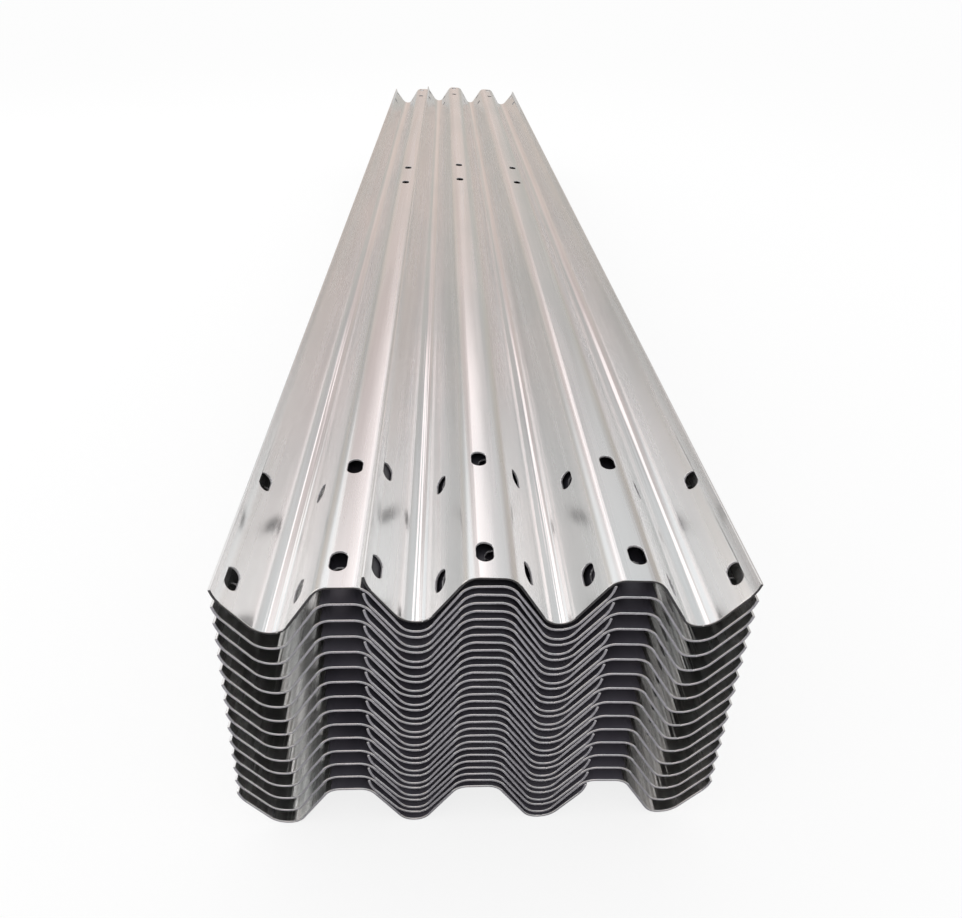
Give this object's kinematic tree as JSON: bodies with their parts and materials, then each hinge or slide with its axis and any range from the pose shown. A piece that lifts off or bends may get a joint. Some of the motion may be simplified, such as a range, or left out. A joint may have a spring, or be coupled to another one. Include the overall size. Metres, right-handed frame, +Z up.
{
  "type": "stack of three-wave guardrail panels",
  "caption": "Nested stack of loose, galvanised three-wave guardrail panels in two overlapping columns, with rows of bolt slots at their ends and mid-length.",
  "frame": {"origin": "centre of the stack's footprint, on the ground under the lowest panel", "axes": "+Y along the panels, +X to the right seen from the near end, +Z up"},
  "size_m": [0.737, 4.349, 0.4878],
  "materials": {
    "galvanised_steel": "hot-dip galvanised sheet, bright silver with soft lengthwise streaks and grey cut edges"
  },
  "bodies": {
    "root": {"left_panel_01": "galvanised_steel", "right_panel_01": "galvanised_steel", "left_panel_02": "galvanised_steel", "right_panel_02": "galvanised_steel", "left_panel_03": "galvanised_steel", "right_panel_03": "galvanised_steel", "left_panel_04": "galvanised_steel", "right_panel_04": "galvanised_steel", "left_panel_05": "galvanised_steel", "right_panel_05": "galvanised_steel", "left_panel_06": "galvanised_steel", "right_panel_06": "galvanised_steel", "left_panel_07": "galvanised_steel", "right_panel_07": "galvanised_steel", "left_panel_08": "galvanised_steel", "right_panel_08": "galvanised_steel", "left_panel_09": "galvanised_steel", "right_panel_09": "galvanised_steel", "left_panel_10": "galvanised_steel", "right_panel_10": "galvanised_steel", "left_panel_11": "galvanised_steel", "right_panel_11": "galvanised_steel", "left_panel_12": "galvanised_steel", "right_panel_12": "galvanised_steel", "left_panel_13": "galvanised_steel", "right_panel_13": "galvanised_steel", "left_panel_14": "galvanised_steel", "right_panel_14": "galvanised_steel", "left_panel_15": "galvanised_steel", "right_panel_15": "galvanised_steel"}
  },
  "joints": []
}
